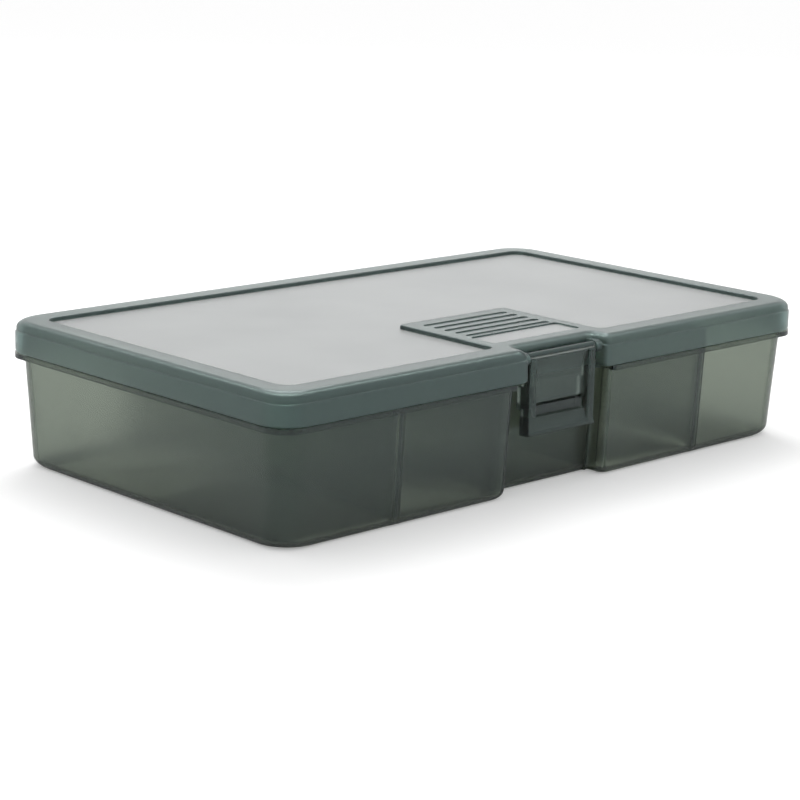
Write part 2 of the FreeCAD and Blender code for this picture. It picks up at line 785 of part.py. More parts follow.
def check_model(doc, pieces):
    """Stop if any object failed or any piece isn't one valid solid."""
    for item in doc.Objects:
        if "Invalid" in item.State or "Error" in item.State:
            raise RuntimeError(f"{item.Name} failed: {item.State}")
    for piece in pieces:
        shape = piece.Shape
        if shape.isNull() or not shape.isValid() or len(shape.Solids) != 1:
            raise RuntimeError(f"{piece.Label} isn't one valid solid")
    check_volumes(doc)


def main():
    """Build every piece, check the model and write one file for each piece."""
    doc = FreeCAD.newDocument("tackle_box")
    size = make_sheet(doc)
    place = Layout(size)
    pieces = [make_base_tray(doc, size, place), make_lid(doc, size, place), make_latch(doc, size, place)]
    pieces += make_pins(doc, size, place)
    for number, (x_place, behind_notch, _) in enumerate(divider_places(place), start=1):
        pieces.append(make_divider(doc, f"divider_{number}", size, place, x_place, behind_notch))
    doc.recompute()
    check_model(doc, pieces)
    os.makedirs("parts", exist_ok=True)
    for piece in pieces:
        piece.Shape.exportStep(f"parts/{piece.Label}.step")
        print(f"{piece.Label}: volume {piece.Shape.Volume:.1f}, box {piece.Shape.BoundBox}")


main()
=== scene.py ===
"""Looks of the flat see-through tackle box: its tray, lid, latch and partitions, with the studio.

The frame's origin is the middle of the box's flat underside. X runs along the long front side, the
front faces -Y and +Z is up. Lengths are in metres, written as millimetres times MM.
"""

import logging
import math
from dataclasses import dataclass, replace
from enum import Enum
from typing import Callable

import bmesh
import bpy
from mathutils import Matrix, Vector


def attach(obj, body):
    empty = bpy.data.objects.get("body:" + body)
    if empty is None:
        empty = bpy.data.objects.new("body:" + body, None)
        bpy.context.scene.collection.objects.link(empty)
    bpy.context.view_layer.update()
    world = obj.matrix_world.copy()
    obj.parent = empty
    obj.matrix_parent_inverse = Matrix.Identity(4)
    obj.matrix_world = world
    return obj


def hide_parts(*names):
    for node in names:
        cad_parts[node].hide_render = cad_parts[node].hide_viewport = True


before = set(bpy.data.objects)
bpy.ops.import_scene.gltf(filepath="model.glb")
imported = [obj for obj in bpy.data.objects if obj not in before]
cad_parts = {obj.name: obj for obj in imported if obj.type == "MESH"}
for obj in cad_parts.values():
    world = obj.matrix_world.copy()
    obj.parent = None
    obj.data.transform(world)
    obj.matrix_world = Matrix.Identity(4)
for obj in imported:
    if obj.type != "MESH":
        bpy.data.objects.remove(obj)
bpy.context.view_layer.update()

MM = 0.001
NEAR = 0.02 * MM
MERGE = NEAR / 5
SIDES = (-1, 1)
SHARP_ANGLE = math.radians(30)
BEVEL_ANGLE = math.radians(40)
SMOOTH_ANGLE = math.radians(35)
ROUGHNESS_SPREAD = 0.05
log = logging.getLogger("tackle_box")

Piece = bpy.types.Object
Tree = bpy.types.NodeTree
Axis = tuple[float, float]
Corner = tuple[float, float, float]
PointTest = Callable[[Vector], bool]
EdgeTest = Callable[[bmesh.types.BMEdge], bool]
FaceTest = Callable[[bpy.types.MeshPolygon], bool]


class Join(Enum):
    """Ways to combine two solids."""

    ADD = "UNION"
    CUT = "DIFFERENCE"


class Element(Enum):
    """Kinds of mesh element that can be selected."""

    VERTEX = "VERT"
    EDGE = "EDGE"
    FACE = "FACE"


@dataclass(frozen=True)
class Rounding:
    """The rounding of a group of edges."""

    radius: float
    segments: int


def activate(piece: Piece) -> None:
    """Select one piece alone and make it the active one.

    Args:
        piece: The piece to work on.
    """
    bpy.ops.object.select_all(action="DESELECT")
    piece.select_set(True)
    bpy.context.view_layer.objects.active = piece


def name_piece(piece: Piece, name: str) -> Piece:
    """Name a new piece and set its place into its mesh.

    Args:
        piece: The piece to name.
        name: Its plain name.

    Returns:
        The same piece, with its object at the origin.
    """
    piece.name = name
    piece.data.name = name
    activate(piece)
    bpy.ops.object.transform_apply(location=True, rotation=True, scale=True)
    return piece


def block(name: str, low: Corner, high: Corner) -> Piece:
    """Add a block between two opposite corners.

    Args:
        name: Its plain name.
        low: Lowest corner.
        high: Highest corner.

    Returns:
        The new block.
    """
    bpy.ops.object.select_all(action="DESELECT")
    middle = [(a + b) / 2 for a, b in zip(low, high)]
    size = [b - a for a, b in zip(low, high)]
    bpy.ops.mesh.primitive_cube_add(size=1, location=middle, scale=size)
    return name_piece(bpy.context.object, name)


def rod(name: str, radius: float, left: float, right: float, axis: Axis) -> Piece:
    """Add a round rod that lies along X.

    Args:
        name: Its plain name.
        radius: Its radius.
        left: X of its left end.
        right: X of its right end.
        axis: (y, z) of its axis.

    Returns:
        The new rod.
    """
    bpy.ops.object.select_all(action="DESELECT")
    bpy.ops.mesh.primitive_cylinder_add(
        vertices=40,
        radius=radius,
        depth=right - left,
        location=((left + right) / 2, *axis),
        rotation=(0, math.pi / 2, 0),
    )
    return name_piece(bpy.context.object, name)


def edit(piece: Piece) -> None:
    """Open a piece in edit mode.

    Args:
        piece: The piece to edit.
    """
    activate(piece)
    bpy.ops.object.mode_set(mode="EDIT")


def close_edit() -> None:
    """Leave edit mode."""
    bpy.ops.object.mode_set(mode="OBJECT")


def pick(piece: Piece, element: Element, test: PointTest) -> None:
    """Select the vertices, edges or faces that pass a test. The piece is in edit mode.

    Args:
        piece: The piece being edited.
        element: What is selected.
        test: Says whether a point counts. An edge or a face counts by all its ends.
    """
    mesh = bmesh.from_edit_mesh(piece.data)
    bpy.ops.mesh.select_mode(type=element.value)
    bpy.ops.mesh.select_all(action="DESELECT")
    items = {Element.VERTEX: mesh.verts, Element.EDGE: mesh.edges, Element.FACE: mesh.faces}[element]
    for item in items:
        ends = [item] if element is Element.VERTEX else item.verts
        item.select_set(all(test(end.co) for end in ends))
    mesh.select_flush_mode()
    bmesh.update_edit_mesh(piece.data)


def pick_edges(piece: Piece, test: EdgeTest) -> None:
    """Select the edges that pass a test. The piece is in edit mode.

    Args:
        piece: The piece being edited.
        test: Says whether an edge counts.
    """
    mesh = bmesh.from_edit_mesh(piece.data)
    bpy.ops.mesh.select_mode(type=Element.EDGE.value)
    bpy.ops.mesh.select_all(action="DESELECT")
    for edge in mesh.edges:
        edge.select_set(test(edge))
    bmesh.update_edit_mesh(piece.data)


def split(place: Corner, direction: Corner) -> None:
    """Cut a line of edges round the whole piece being edited, where a plane crosses it.

    Args:
        place: A point on the plane.
        direction: The plane's normal.
    """
    bpy.ops.mesh.select_all(action="SELECT")
    bpy.ops.mesh.bisect(plane_co=place, plane_no=direction)


def move_picked(x: float = 0.0, y: float = 0.0, z: float = 0.0) -> None:
    """Move what is selected.

    Args:
        x: Distance along X.
        y: Distance along Y.
        z: Distance along Z.
    """
    bpy.ops.transform.translate(value=(x, y, z))


def bevel_picked(rounding: Rounding) -> None:
    """Round the selected edges.

    Args:
        rounding: How they are rounded.
    """
    bpy.ops.mesh.bevel(offset=rounding.radius, segments=rounding.segments, affect="EDGES", profile=0.5)


def round_all_edges(solid: Piece, rounding: Rounding) -> None:
    """Round every edge of a simple solid.

    Args:
        solid: The solid.
        rounding: How its edges are rounded.
    """
    edit(solid)
    bpy.ops.mesh.select_all(action="SELECT")
    bevel_picked(rounding)
    close_edit()


def combine(piece: Piece, other: Piece, how: Join) -> None:
    """Add another solid to a piece or cut it out, and delete the other.

    Args:
        piece: The piece that stays.
        other: The solid that is used up.
        how: Whether it is added or cut.
    """
    activate(piece)
    tool = piece.modifiers.new("combine", "BOOLEAN")
    tool.operation = how.value
    tool.solver = "EXACT"
    tool.object = other
    bpy.ops.object.modifier_apply(modifier=tool.name)
    bpy.data.objects.remove(other, do_unlink=True)


def finish_edges(piece: Piece, rounding: Rounding) -> None:
    """Soften the sharp edges of a moulding, clear faces without area and give it even shading.

    Args:
        piece: The finished solid.
        rounding: How its sharp edges are rounded.
    """
    activate(piece)
    weld = piece.modifiers.new("weld", "WELD")
    weld.merge_threshold = MERGE
    bpy.ops.object.modifier_apply(modifier=weld.name)
    bevel = piece.modifiers.new("edges", "BEVEL")
    bevel.width = rounding.radius
    bevel.segments = rounding.segments
    bevel.limit_method = "ANGLE"
    bevel.angle_limit = BEVEL_ANGLE
    bpy.ops.object.modifier_apply(modifier=bevel.name)
    edit(piece)
    bpy.ops.mesh.select_all(action="SELECT")
    bpy.ops.mesh.dissolve_degenerate(threshold=MERGE)
    close_edit()
    bpy.ops.object.shade_smooth_by_angle(angle=SMOOTH_ANGLE)
    even = piece.modifiers.new("even", "WEIGHTED_NORMAL")
    even.keep_sharp = True
    even.weight = 100
    bpy.ops.object.modifier_apply(modifier=even.name)


@dataclass(frozen=True)
class Lean:
    """How far the walls draw in from the shoulder to the foot."""

    wall: float = 2.6 * MM
    notch_side: float = 1.0 * MM
    notch_floor: float = 3.5 * MM


@dataclass(frozen=True)
class NotchedOutline:
    """A rounded rectangle with a notch in the middle of its front side. Its front is at -back."""

    half: float
    back: float
    corner: float
    notch_half: float
    notch_floor: float
    lip_round: float
    root_round: float

    def inset(self, by: float) -> "NotchedOutline":
        """Move the outline in all round, with its roundings kept in line.

        Args:
            by: How far it moves in. A negative distance moves it out.

        Returns:
            The new outline.
        """
        least = 0.3 * MM
        return NotchedOutline(
            self.half - by,
            self.back - by,
            max(self.corner - by, least),
            self.notch_half + by,
            self.notch_floor + by,
            max(self.lip_round - by, least),
            max(self.root_round + by, least),
        )

    def block(
        self,
        name: str,
        low: float,
        high: float,
        lean: Lean | None = None,
        knee: float | None = None,
        foot: Rounding | None = None,
        top: Rounding | None = None,
    ) -> Piece:
        """Raise the outline into a solid with rounded edges.

        The level edges are rounded first, while the corners are plain mitres, so that no rounding
        folds over itself at a small corner.

        Args:
            name: The solid's plain name.
            low: Z of its foot.
            high: Z of its top.
            lean: How far its walls draw in at the foot.
            knee: Z above which the walls stand upright, or None where they lean all the way.
            foot: Rounding of its foot, if any.
            top: Rounding of its top edge, if any.

        Returns:
            The new solid.
        """
        solid = block(name, (-self.half, self.notch_floor, low), (self.half, self.back, high))
        edit(solid)
        for side in SIDES:
            split((self.notch_half * side, 0, 0), (1, 0, 0))
        for side in SIDES:
            pick(
                solid,
                Element.FACE,
                lambda p: abs(p.y - self.notch_floor) < NEAR and p.x * side > self.notch_half - NEAR,
            )
            bpy.ops.mesh.extrude_region_move(
                TRANSFORM_OT_translate={"value": (0, -self.back - self.notch_floor, 0)}
            )
        if knee:
            split((0, 0, knee), (0, 0, 1))
        if lean:
            self.draw_in(solid, low, lean)
        bpy.ops.mesh.select_all(action="SELECT")
        bpy.ops.mesh.normals_make_consistent(inside=False)
        bpy.ops.mesh.dissolve_limited(angle_limit=math.radians(0.1))
        for level, rounding in ((low, foot), (high, top)):
            if rounding:
                pick(solid, Element.EDGE, lambda p: abs(p.z - level) < NEAR)
                bevel_picked(rounding)
        self.round_uprights(solid)
        close_edit()
        return solid

    def draw_in(self, solid: Piece, low: float, lean: Lean) -> None:
        """Move the foot of each wall inward.

        Args:
            solid: The solid being edited.
            low: Z of its foot.
            lean: How far each wall moves.
        """

        def at_end(p: Vector) -> bool:
            return abs(p.x - self.half * side) < NEAR

        def at_flank(p: Vector) -> bool:
            return abs(p.x - self.notch_half * side) < NEAR and p.y < self.notch_floor + NEAR

        for side in SIDES:
            for test, shift in ((at_end, -lean.wall), (at_flank, lean.notch_side)):
                pick(solid, Element.VERTEX, lambda p: abs(p.z - low) < NEAR and test(p))
                move_picked(x=shift * side)
        for place, shift in (
            (-self.back, lean.wall), (self.back, -lean.wall), (self.notch_floor, lean.notch_floor)
        ):
            pick(solid, Element.VERTEX, lambda p: abs(p.z - low) < NEAR and abs(p.y - place) < NEAR)
            move_picked(y=shift)

    def round_uprights(self, solid: Piece) -> None:
        """Round the upright corners, and the mitres that go on from them, group by group.

        Args:
            solid: The solid being edited.
        """
        middle = (self.half + self.notch_half) / 2

        def turned(edge: bmesh.types.BMEdge) -> bool:
            one, other = (face.normal.xy for face in edge.link_faces)
            steep = min(one.length, other.length) > 0.02
            return steep and abs(one.normalized().dot(other.normalized())) < 0.3

        def outer(edge: bmesh.types.BMEdge) -> bool:
            return abs(edge.verts[0].co.x) > middle

        groups = (
            (Rounding(self.corner, 10), lambda edge: edge.is_convex and outer(edge)),
            (Rounding(self.lip_round, 6), lambda edge: edge.is_convex and not outer(edge)),
            (Rounding(self.root_round, 5), lambda edge: not edge.is_convex),
        )
        for rounding, belongs in groups:
            pick_edges(solid, lambda edge: turned(edge) and belongs(edge))
            bevel_picked(rounding)


# Finishes


def add_node(tree: Tree, kind: str, **inputs: object) -> bpy.types.Node:
    """Add a node and set its inputs by name, or link them where a socket is given.

    Args:
        tree: The node tree.
        kind: The node's type name.
        **inputs: Values or sockets, by the input's name with spaces as underscores.

    Returns:
        The new node.
    """
    node = tree.nodes.new(kind)
    for name, value in inputs.items():
        socket = node.inputs[name.replace("_", " ")]
        if isinstance(value, bpy.types.NodeSocket):
            tree.links.new(value, socket)
        else:
            socket.default_value = value
    return node


def add_math(tree: Tree, operation: str, *inputs: object) -> bpy.types.NodeSocket:
    """Add a math node and set or link its inputs in order.

    Args:
        tree: The node tree.
        operation: The node's operation.
        *inputs: Values or sockets.

    Returns:
        The node's output.
    """
    node = tree.nodes.new("ShaderNodeMath")
    node.operation = operation
    for socket, value in zip(node.inputs, inputs):
        if isinstance(value, bpy.types.NodeSocket):
            tree.links.new(value, socket)
        else:
            socket.default_value = value
    return node.outputs[0]


@dataclass(frozen=True)
class Finish:
    """A finish, whose material is made once."""

    name: str

    def material(self) -> bpy.types.Material:
        """Find or make the material.

        Returns:
            The material.
        """
        made = bpy.data.materials.get(self.name)
        if not made:
            made = bpy.data.materials.new(self.name)
            made.use_nodes = True
            self.fill(made.node_tree, made.node_tree.nodes["Principled BSDF"])
        return made

    def fill(self, tree: Tree, shader: bpy.types.Node) -> None:
        """Set up the material's nodes.

        Args:
            tree: The material's node tree.
            shader: Its Principled BSDF.
        """
        raise NotImplementedError


def haze_group() -> Tree:
    """Build the flow haze of moulded plastic: slow shade changes and a fine uneven surface.

    Returns:
        A shader node group with colour, roughness and height outputs.
    """
    found = bpy.data.node_groups.get("moulding_haze")
    if found:
        return found
    tree = bpy.data.node_groups.new("moulding_haze", "ShaderNodeTree")
    for name, kind, way in (
        ("Shade", "Color", "INPUT"),
        ("Thin Shade", "Color", "INPUT"),
        ("Roughness", "Float", "INPUT"),
        ("Color", "Color", "OUTPUT"),
        ("Roughness", "Float", "OUTPUT"),
        ("Height", "Float", "OUTPUT"),
    ):
        tree.interface.new_socket(name, in_out=way, socket_type=f"NodeSocket{kind}")
    given = tree.nodes.new("NodeGroupInput").outputs
    place = tree.nodes.new("ShaderNodeTexCoord").outputs["Object"]
    cloud = add_node(tree, "ShaderNodeTexNoise", Vector=place, Scale=14.0, Detail=3.0, Roughness=0.5)
    grain = add_node(tree, "ShaderNodeTexNoise", Vector=place, Scale=900.0, Detail=2.0, Roughness=0.6)
    mix = tree.nodes.new("ShaderNodeMix")
    mix.data_type = "RGBA"
    tree.links.new(cloud.outputs["Fac"], mix.inputs["Factor"])
    tree.links.new(given["Shade"], mix.inputs["A"])
    tree.links.new(given["Thin Shade"], mix.inputs["B"])
    uneven = add_math(tree, "MULTIPLY_ADD", grain.outputs["Fac"], ROUGHNESS_SPREAD, given["Roughness"])
    out = tree.nodes.new("NodeGroupOutput")
    tree.links.new(mix.outputs["Result"], out.inputs["Color"])
    tree.links.new(uneven, out.inputs["Roughness"])
    tree.links.new(grain.outputs["Fac"], out.inputs["Height"])
    return tree


@dataclass(frozen=True)
class SeeThroughPlastic(Finish):
    """Smoky polypropylene that lets blurred light through and darkens with its depth."""

    shade: Corner = (0.90, 0.93, 0.91)
    thin_shade: Corner = (0.98, 0.99, 0.98)
    roughness: float = 0.22
    clarity: float = 0.97
    refraction: float = 1.45
    bump: float = 0.02
    depth_tint: Corner = (0.50, 0.56, 0.53)
    depth_density: float = 800.0
    glint: Corner = (0.60, 0.86, 0.86)

    def fill(self, tree: Tree, shader: bpy.types.Node) -> None:
        """Set up the material's nodes."""
        haze = tree.nodes.new("ShaderNodeGroup")
        haze.node_tree = haze_group()
        haze.inputs["Shade"].default_value = (*self.shade, 1)
        haze.inputs["Thin Shade"].default_value = (*self.thin_shade, 1)
        haze.inputs["Roughness"].default_value = self.roughness
        height = haze.outputs["Height"]
        bump = add_node(tree, "ShaderNodeBump", Strength=self.bump, Distance=0.1 * MM, Height=height)
        tree.links.new(haze.outputs["Color"], shader.inputs["Base Color"])
        tree.links.new(haze.outputs["Roughness"], shader.inputs["Roughness"])
        tree.links.new(bump.outputs["Normal"], shader.inputs["Normal"])
        shader.inputs["Transmission Weight"].default_value = self.clarity
        shader.inputs["IOR"].default_value = self.refraction
        shader.inputs["Specular Tint"].default_value = (*self.glint, 1)
        depth = tree.nodes.new("ShaderNodeVolumeAbsorption")
        depth.inputs["Color"].default_value = (*self.depth_tint, 1)
        depth.inputs["Density"].default_value = self.depth_density
        tree.links.new(depth.outputs["Volume"], tree.nodes["Material Output"].inputs["Volume"])


@dataclass(frozen=True)
class PinSteel(Finish):
    """Drawn steel wire with fine lines round it."""

    roughness: float = 0.32
    dark: Corner = (0.42, 0.42, 0.41)
    light: Corner = (0.66, 0.66, 0.65)

    def fill(self, tree: Tree, shader: bpy.types.Node) -> None:
        """Set up the material's nodes."""
        place = tree.nodes.new("ShaderNodeTexCoord").outputs["Object"]
        lines = add_node(tree, "ShaderNodeTexNoise", Vector=place, Scale=600.0, Detail=2.0).outputs["Fac"]
        ramp = tree.nodes.new("ShaderNodeValToRGB")
        ramp.color_ramp.elements[0].color = (*self.dark, 1)
        ramp.color_ramp.elements[1].color = (*self.light, 1)
        tree.links.new(lines, ramp.inputs["Fac"])
        tree.links.new(ramp.outputs["Color"], shader.inputs["Base Color"])
        bump = add_node(tree, "ShaderNodeBump", Strength=0.1, Distance=0.05 * MM, Height=lines)
        tree.links.new(bump.outputs["Normal"], shader.inputs["Normal"])
        shader.inputs["Metallic"].default_value = 1.0
        shader.inputs["Roughness"].default_value = self.roughness


TRAY_PLASTIC = SeeThroughPlastic("smoked_tray", depth_tint=(0.56, 0.60, 0.53), depth_density=700.0)
DIVIDER_PLASTIC = SeeThroughPlastic("smoked_divider", depth_tint=(0.52, 0.56, 0.51), depth_density=1100.0)
# Painted shade: a dark, nearly opaque finish for the partitions' end faces. It stands in for the dark
# lines that the partitions make when seen edge-on through the walls.
DIVIDER_END_PAINTED_SHADE = SeeThroughPlastic(
    "divider_end_painted_shade",
    (0.025, 0.035, 0.030),
    (0.035, 0.045, 0.040),
    roughness=0.5,
    clarity=0.1,
    depth_density=1100.0,
)
LID_PLASTIC = SeeThroughPlastic(
    "smoked_lid",
    (0.73, 0.93, 0.91),
    (0.81, 0.97, 0.96),
    roughness=0.27,
    clarity=0.95,
    depth_tint=(0.52, 0.54, 0.52),
    depth_density=540.0,
    glint=(0.70, 1.0, 1.0),
)
LATCH_PLASTIC = SeeThroughPlastic("smoked_latch", depth_density=420.0, glint=(0.48, 0.76, 0.74))
# Painted shade: a dark, nearly opaque finish with dimmed reflections for the latch's upward top faces. It
# stands in for the shade under the lid's rim and hides the light band on the latch's rounded top.
LATCH_PAINTED_SHADE = SeeThroughPlastic(
    "latch_painted_shade",
    (0.05, 0.07, 0.067),
    (0.07, 0.095, 0.09),
    roughness=0.4,
    clarity=0.1,
    glint=(0.14, 0.20, 0.20),
)
PANEL_PLASTIC = SeeThroughPlastic(
    "frosted_panel",
    (0.36, 0.365, 0.365),
    (0.50, 0.505, 0.50),
    roughness=0.34,
    clarity=0.25,
    bump=0.2,
)
STEEL = PinSteel("pin_steel_wire")


def dress(
    piece: Piece,
    finish: Finish,
    second: Finish | None = None,
    takes_second: FaceTest | None = None,
) -> None:
    """Give a piece its finish, and a second one on the faces that pass a test.

    Args:
        piece: The finished piece.
        finish: The finish all over.
        second: The other finish, if any.
        takes_second: Says whether a face takes the second finish.
    """
    piece.data.materials.clear()
    piece.data.materials.append(finish.material())
    if second:
        piece.data.materials.append(second.material())
    for polygon in piece.data.polygons:
        polygon.material_index = int(takes_second(polygon)) if takes_second else 0


# Shared places of the box


@dataclass(frozen=True)
class BoxPlaces:
    """Places that the tray, the lid and the latch share."""

    half: float = 178.0 * MM
    back: float = 102.5 * MM
    corner: float = 13.0 * MM
    top: float = 72.0 * MM
    shoulder: float = 53.8 * MM
    flange_top: float = 56.2 * MM
    skirt_under: float = 56.4 * MM
    rim_under: float = 70.0 * MM
    tray_top: float = 69.7 * MM
    panel_top: float = 70.0 * MM
    panel_under: float = 68.2 * MM
    divider_top: float = 66.0 * MM
    lid_notch_half: float = 26.8 * MM
    lid_lip: float = 2.6 * MM
    lid_root: float = 3.0 * MM
    flange_notch_half: float = 33.0 * MM
    notch_floor: float = -92.2 * MM
    latch_axis: Axis = (-96.0 * MM, 66.0 * MM)
    hinge_axis: Axis = (105.6 * MM, 57.0 * MM)
    hinge_place: float = 95.052 * MM
    pin_hole: float = 1.05 * MM
    knuckle_radius: float = 2.6 * MM
    lid_knuckle: float = 15.0 * MM
    tray_knuckle: float = 12.0 * MM
    knuckle_gap: float = 0.4 * MM
    bore_overrun: float = 2.0 * MM


BOX = BoxPlaces()
LID_OUTLINE = NotchedOutline(
    BOX.half, BOX.back, BOX.corner, BOX.lid_notch_half, BOX.notch_floor, BOX.lid_lip, BOX.lid_root
)


def knuckle(name: str, middle: float, length: float, root: float, low: float, high: float) -> Piece:
    """Model one rear hinge knuckle with its arm.

    Args:
        name: Its plain name.
        middle: X of its middle.
        length: Its length along X.
        root: Y where the arm starts inside the wall.
        low: Z of the arm's underside.
        high: Z of the arm's top.

    Returns:
        The knuckle, not yet bored.
    """
    left, right = middle - length / 2, middle + length / 2
    arm = block(f"{name}_arm", (left, root, low), (right, BOX.hinge_axis[0], high))
    barrel = rod(name, BOX.knuckle_radius, left, right, BOX.hinge_axis)
    combine(barrel, arm, Join.ADD)
    return barrel


def bore(piece: Piece, middle: float, reach: float, axis: Axis) -> None:
    """Bore a pin hole along X.

    Args:
        piece: The piece to bore.
        middle: X of the hole's middle.
        reach: Half the hole's length.
        axis: (y, z) of its axis.
    """
    combine(piece, rod("bore", BOX.pin_hole, middle - reach, middle + reach, axis), Join.CUT)


@dataclass
class Tray:
    """The deep tray with its flange, ribs, catch and hinge knuckles."""

    wall: float = 2.0 * MM
    floor: float = 2.2 * MM
    foot: Rounding = Rounding(5.0 * MM, 7)
    inner_foot: Rounding = Rounding(3.0 * MM, 5)
    wall_inset: float = 3.5 * MM
    flange_inset: float = 0.5 * MM
    notch_floor: float = -89.6 * MM
    low_notch_half: float = 33.0 * MM
    high_notch_half: float = 35.1 * MM
    lip_round: float = 2.6 * MM
    root_round: float = 1.5 * MM
    mouth_gap: float = 0.1 * MM
    mouth_overlap: float = 0.8 * MM
    relief_gap: float = 0.3 * MM
    rib_thickness: float = 1.2 * MM
    rib_depth: float = 2.5 * MM
    rib_root: float = 4.0 * MM
    knuckle_root: float = 2.4 * MM
    catch_half: float = 16.5 * MM
    catch_under: float = 37.8 * MM
    catch_over: float = 43.5 * MM
    catch_tip: float = -96.6 * MM
    catch_root: float = 2.9 * MM
    catch_slope: float = 0.8 * MM
    catch_edge: Rounding = Rounding(0.6 * MM, 3)
    edge: Rounding = Rounding(0.3 * MM, 2)
    lean: Lean = Lean()

    def outline(self, notch_half: float) -> NotchedOutline:
        """Make the wall's outer outline at the shoulder.

        Args:
            notch_half: Half the notch's width there.

        Returns:
            The outline.
        """
        return NotchedOutline(
            BOX.half - self.wall_inset,
            BOX.back - self.wall_inset,
            BOX.corner,
            notch_half,
            self.notch_floor,
            self.lip_round,
            self.root_round,
        )

    def shell(self) -> Piece:
        """Model the outer form: tapered walls, upright rim and flange.

        Returns:
            The solid form, not yet hollow.
        """
        inside_flange = (BOX.shoulder + BOX.flange_top) / 2
        lower = self.outline(self.low_notch_half).block(
            "tray_shell", 0, inside_flange, self.lean, knee=BOX.shoulder, foot=self.foot
        )
        under_skirt = replace(LID_OUTLINE.inset(self.flange_inset), notch_half=BOX.flange_notch_half)
        flange = under_skirt.block("tray_flange", BOX.shoulder, BOX.flange_top)
        combine(lower, flange, Join.ADD)
        upper = self.outline(self.high_notch_half).block("tray_rim", inside_flange, BOX.tray_top)
        combine(lower, upper, Join.ADD)
        return lower

    def hollow(self) -> Piece:
        """Model the solid that hollows the tray.

        Returns:
            The hollow's form.
        """
        low_outline = self.outline(self.low_notch_half).inset(self.wall)
        lower = low_outline.block("tray_hollow", self.floor, BOX.shoulder, self.lean, foot=self.inner_foot)
        high_outline = self.outline(self.high_notch_half).inset(self.wall + self.mouth_gap)
        upper = high_outline.block("tray_mouth", BOX.shoulder - self.mouth_overlap, BOX.top)
        combine(lower, upper, Join.ADD)
        return lower

    def rib_places(self) -> list[tuple[float, float, float]]:
        """Work out where the ribs stand.

        Returns:
            Each rib's x, the front wall's place there and how far forward its root starts.
        """
        places = []
        reach = Dividers.thickness / 2 + Dividers.fit + self.rib_thickness / 2
        for x_place, behind_notch in Dividers.places():
            front = self.notch_floor if behind_notch else -BOX.back + self.wall_inset
            for side in SIDES:
                outward = behind_notch and x_place * side > 0
                places.append((x_place + reach * side, front, self.rib_root if outward else 0.0))
        return places

    def add_ribs(self, tray: Piece) -> None:
        """Add the pairs of upright ribs that hold the partitions.

        Args:
            tray: The hollow tray.
        """
        half = self.rib_thickness / 2
        in_wall = self.wall / 2
        back = BOX.back - self.wall_inset
        for number, (x_place, front, deeper) in enumerate(self.rib_places(), start=1):
            spans = (
                (front + in_wall - deeper, front + self.wall + self.rib_depth, self.lean.wall),
                (back - self.wall - self.rib_depth, back - in_wall, -self.lean.wall),
            )
            for low_y, high_y, shift in spans:
                rib = block(
                    f"rib_{number}",
                    (x_place - half, low_y, self.floor / 2),
                    (x_place + half, high_y, BOX.shoulder),
                )
                edit(rib)
                pick(rib, Element.VERTEX, lambda p: p.z < self.floor)
                move_picked(y=shift)
                close_edit()
                combine(tray, rib, Join.ADD)

    def catch(self) -> Piece:
        """Model the nose that the latch snaps over.

        Returns:
            The catch.
        """
        nose = block(
            "catch",
            (-self.catch_half, self.catch_tip, self.catch_under),
            (self.catch_half, self.notch_floor + self.catch_root, self.catch_over),
        )
        edit(nose)
        tip = self.catch_tip + NEAR
        pick(nose, Element.VERTEX, lambda p: p.z > self.catch_over - NEAR and p.y < tip)
        move_picked(z=-self.catch_slope)
        pick(nose, Element.EDGE, lambda p: p.y < tip)
        bevel_picked(self.catch_edge)
        close_edit()
        return nose

    def relieve_rim(self, tray: Piece) -> None:
        """Lower the rim behind the notch, where the lid's panel comes down.

        Args:
            tray: The hollow tray.
        """
        half = self.high_notch_half + self.wall + self.relief_gap
        back = self.notch_floor + self.wall + self.relief_gap
        low = BOX.panel_under - self.relief_gap
        combine(tray, block("rim_relief", (-half, -BOX.back, low), (half, back, BOX.top)), Join.CUT)

    def add_hinges(self, tray: Piece) -> None:
        """Add the outer knuckles of both hinges.

        Args:
            tray: The hollow tray.
        """
        offset = (BOX.lid_knuckle + BOX.tray_knuckle) / 2 + BOX.knuckle_gap
        root = BOX.back - self.flange_inset - self.knuckle_root
        reach = BOX.lid_knuckle / 2 + BOX.tray_knuckle + BOX.bore_overrun
        for hinge in SIDES:
            middle = BOX.hinge_place * hinge
            for side in SIDES:
                place = middle + offset * side
                part = knuckle("tray_knuckle", place, BOX.tray_knuckle, root, BOX.shoulder, BOX.flange_top)
                combine(tray, part, Join.ADD)
            bore(tray, middle, reach, BOX.hinge_axis)

    def build(self) -> list[Piece]:
        """Model, dress and place the tray.

        Returns:
            The finished tray alone.
        """
        tray = self.shell()
        combine(tray, self.hollow(), Join.CUT)
        self.relieve_rim(tray)
        self.add_ribs(tray)
        combine(tray, self.catch(), Join.ADD)
        self.add_hinges(tray)
        finish_edges(tray, self.edge)
        dress(tray, TRAY_PLASTIC)
        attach(tray, "tray")
        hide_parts("base_tray")
        return [tray]


